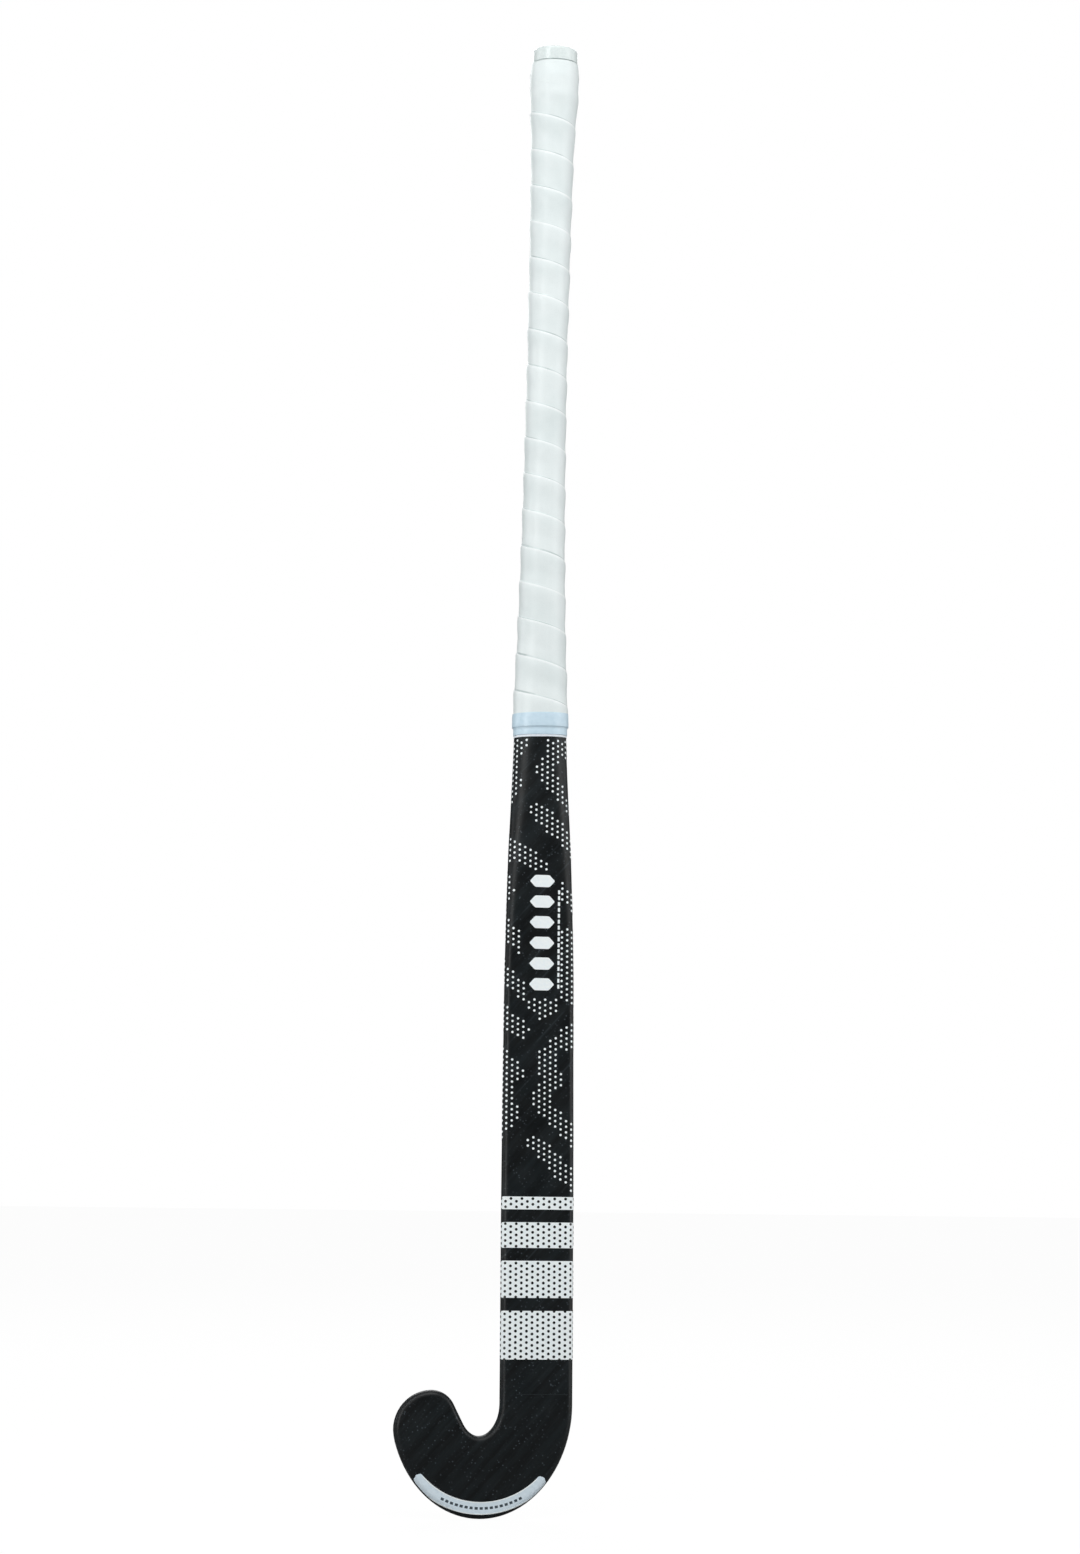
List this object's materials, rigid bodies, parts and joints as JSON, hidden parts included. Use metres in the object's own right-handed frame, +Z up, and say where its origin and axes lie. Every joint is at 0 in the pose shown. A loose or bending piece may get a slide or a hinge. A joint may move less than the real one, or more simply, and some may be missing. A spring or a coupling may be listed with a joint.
{
  "type": "field hockey stick",
  "caption": "Adult field hockey stick: bowed shaft with a flat playing face, rounded back and J-shaped hooked head, wound handle grip, end cap and printed markings.",
  "frame": {"origin": "centre of the handle halfway up the grip, where a hand holds the stick", "axes": "+Z up the stick from the head to the butt, -Y the way the flat playing face looks, -X the way the toe points"},
  "size_m": [0.1129, 0.0503, 0.952],
  "materials": {
    "carbon_shell": "satin black carbon and glass laminate",
    "core_foam": "rigid foam",
    "pu_foam": "rigid foam",
    "plug": "moulded plastic",
    "cap": "glossy moulded plastic",
    "cushion": "soft foam wrap",
    "grip": "soft polyurethane tape",
    "blue_tape": "smooth finishing tape",
    "white_edge": "tape edge",
    "white_print": "satin print",
    "stripe_print": "satin print"
  },
  "bodies": {
    "root": {"outer_shell": "carbon_shell", "head_core": "core_foam", "handle_foam": "pu_foam", "butt_plug": "plug", "end_cap": "cap", "cushion_wrap": "cushion", "grip_tape": "grip", "finishing_tape_upper": "blue_tape", "finishing_tape_lower": "blue_tape", "tape_edge": "white_edge", "heel_stripe": "stripe_print", "side_line": "white_print", "lozenge_1": "white_print", "lozenge_2": "white_print", "lozenge_3": "white_print", "lozenge_4": "white_print", "lozenge_5": "white_print", "lozenge_6": "white_print", "level_bar_1": "white_print", "level_bar_2": "white_print", "level_bar_3": "white_print", "level_bar_4": "white_print"}
  },
  "joints": []
}
